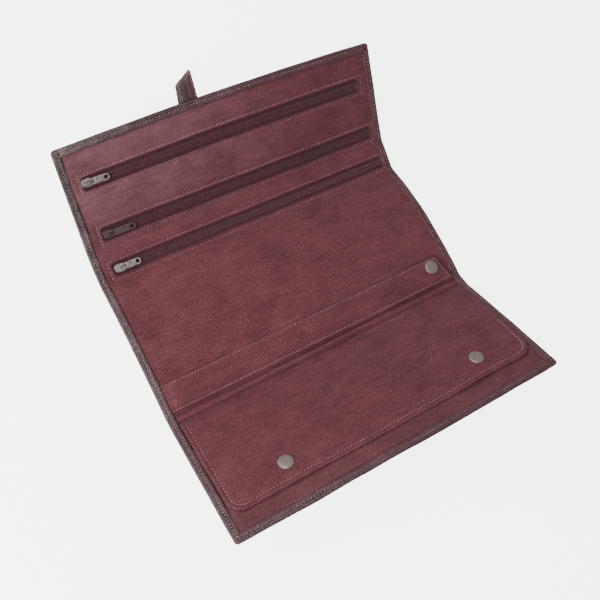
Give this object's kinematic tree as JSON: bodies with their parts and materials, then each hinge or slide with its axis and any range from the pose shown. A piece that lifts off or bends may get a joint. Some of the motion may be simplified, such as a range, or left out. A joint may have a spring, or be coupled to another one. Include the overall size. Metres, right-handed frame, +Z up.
{
  "type": "jewelry roll",
  "caption": "Padded leather jewelry roll, half open, that folds in three over zipped pockets, a snapped flap and a snapped ring strap, with a closure strap on its back.",
  "frame": {"origin": "on the surface that the roll rests on, under the middle of its middle panel", "axes": "+X to the owner's right along the folds, +Y away from the owner, +Z up"},
  "size_m": [0.235, 0.2735, 0.0707],
  "materials": {
    "grained_leather": "fine grained leather, dark wine, turned over at the edges and stitched",
    "suede_lining": "burgundy suede with a soft nap",
    "strap_leather": "grained leather strap, doubled and stitched",
    "padding": "thin felt padding",
    "pocket_cloth": "plain woven cloth",
    "zip_tape": "fine herringbone zip tape",
    "zip_coil": "coiled plastic teeth",
    "bright_metal": "satin nickel plate",
    "dark_metal": "dull dark taupe lacquer",
    "snap_cap": "taupe lacquer, slightly glossy",
    "snap_metal": "plain plated steel"
  },
  "bodies": {
    "root": {"cover_middle": "grained_leather", "padding_middle": "padding", "pocket_bag_middle": "pocket_cloth", "lining_middle": "suede_lining", "ring_stud": "snap_metal"},
    "lower_fold": {"cover_lower_fold": "grained_leather", "padding_lower_fold": "padding", "lining_lower_fold": "suede_lining", "closure_stud": "snap_metal"},
    "lower_panel": {"cover_lower": "grained_leather", "padding_lower": "padding", "lining_lower": "suede_lining", "pocket_lower": "suede_lining", "flap_stud_left": "snap_metal", "flap_stud_right": "snap_metal"},
    "flap": {"flap_face": "suede_lining", "flap_back": "suede_lining", "flap_cap_left": "snap_cap", "flap_cap_right": "snap_cap", "flap_socket_left": "snap_metal", "flap_socket_right": "snap_metal"},
    "ring_strap": {"ring_strap_face": "suede_lining", "ring_strap_core": "padding", "ring_strap_back": "suede_lining", "ring_cap": "snap_cap", "ring_socket": "snap_metal"},
    "upper_fold": {"cover_upper_fold": "grained_leather", "padding_upper_fold": "padding", "lining_upper_fold": "suede_lining", "pocket_bag_fold": "pocket_cloth", "lower_zip_tape": "zip_tape", "lower_zip_coil": "zip_coil", "lower_zip_stops": "zip_coil"},
    "upper_panel": {"cover_upper": "grained_leather", "padding_upper": "padding", "lining_upper": "suede_lining", "pocket_bag_top": "pocket_cloth", "top_zip_tape": "zip_tape", "top_zip_coil": "zip_coil", "top_zip_stops": "zip_coil", "middle_zip_tape": "zip_tape", "middle_zip_coil": "zip_coil", "middle_zip_stops": "zip_coil", "strap_anchor": "strap_leather"},
    "top_slider": {"top_slider": "bright_metal"},
    "top_pull": {"top_pull": "bright_metal"},
    "middle_slider": {"middle_slider": "dark_metal"},
    "middle_pull": {"middle_pull": "dark_metal"},
    "lower_slider": {"lower_slider": "bright_metal"},
    "lower_pull": {"lower_pull": "bright_metal"},
    "strap_root": {"strap_root": "strap_leather"},
    "strap_hang": {"strap_hang": "strap_leather"},
    "strap_tip": {"strap_tip": "strap_leather", "closure_cap": "snap_cap", "closure_socket": "snap_metal"}
  },
  "joints": [
    {"name": "lower_fold_bend", "type": "hinge", "parent": "root", "child": "lower_fold", "pos_m": [0, -0.04864, 0.00377], "axis": [-1, 0, 0], "range_deg": [-14, 76]},
    {"name": "lower_panel_bend", "type": "hinge", "parent": "lower_fold", "child": "lower_panel", "pos_m": [0, -0.05786, 0.00606], "axis": [-1, 0, 0], "range_deg": [-14, 76]},
    {"name": "upper_fold_bend", "type": "hinge", "parent": "root", "child": "upper_fold", "pos_m": [0, 0.04864, 0.00377], "axis": [1, 0, 0], "range_deg": [-22.5, 67.5]},
    {"name": "upper_panel_bend", "type": "hinge", "parent": "upper_fold", "child": "upper_panel", "pos_m": [0, 0.06804, 0.0118], "axis": [1, 0, 0], "range_deg": [-22.5, 67.5]},
    {"name": "flap_lift", "type": "hinge", "parent": "lower_panel", "child": "flap", "pos_m": [0, -0.05778, 0.00676], "axis": [1, 0, 0], "range_deg": [-140, 0]},
    {"name": "ring_strap_lift", "type": "hinge", "parent": "root", "child": "ring_strap", "pos_m": [-0.11141, -0.039, 0.00702], "axis": [0, 0.9862, 0.1657], "range_deg": [-120, 0]},
    {"name": "top_zip_slide", "type": "slide", "parent": "upper_panel", "child": "top_slider", "axis": [1, 0, 0], "range_m": [0, 0.199]},
    {"name": "top_pull_swing", "type": "hinge", "parent": "top_slider", "child": "top_pull", "pos_m": [-0.1007, 0.09976, 0.04458], "axis": [0, -0.7071, -0.7071], "range_deg": [0, 175]},
    {"name": "middle_zip_slide", "type": "slide", "parent": "upper_panel", "child": "middle_slider", "axis": [1, 0, 0], "range_m": [0, 0.2015]},
    {"name": "middle_pull_swing", "type": "hinge", "parent": "middle_slider", "child": "middle_pull", "pos_m": [-0.0995, 0.07409, 0.01891], "axis": [0, -0.7071, -0.7071], "range_deg": [0, 175]},
    {"name": "lower_zip_slide", "type": "slide", "parent": "upper_fold", "child": "lower_slider", "axis": [1, 0, 0], "range_m": [0, 0.205]},
    {"name": "lower_pull_swing", "type": "hinge", "parent": "lower_slider", "child": "lower_pull", "pos_m": [-0.1012, 0.05445, 0.00698], "axis": [0, -0.9239, -0.3827], "range_deg": [0, 175]},
    {"name": "strap_root_bend", "type": "hinge", "parent": "upper_panel", "child": "strap_root", "pos_m": [-0.02, 0.12299, 0.0601], "axis": [1, 0, 0], "range_deg": [-20, 23.5]},
    {"name": "strap_hang_bend", "type": "hinge", "parent": "strap_root", "child": "strap_hang", "pos_m": [-0.02, 0.13345, 0.06943], "axis": [1, 0, 0], "range_deg": [0, 135]},
    {"name": "strap_tip_bend", "type": "hinge", "parent": "strap_hang", "child": "strap_tip", "pos_m": [-0.02, 0.13505, 0.05073], "axis": [1, 0, 0], "range_deg": [0, 66.5]}
  ],
  "couplings": [
    {"joint": "lower_panel_bend", "follows": "lower_fold_bend", "ratio": 1},
    {"joint": "upper_panel_bend", "follows": "upper_fold_bend", "ratio": 1}
  ]
}
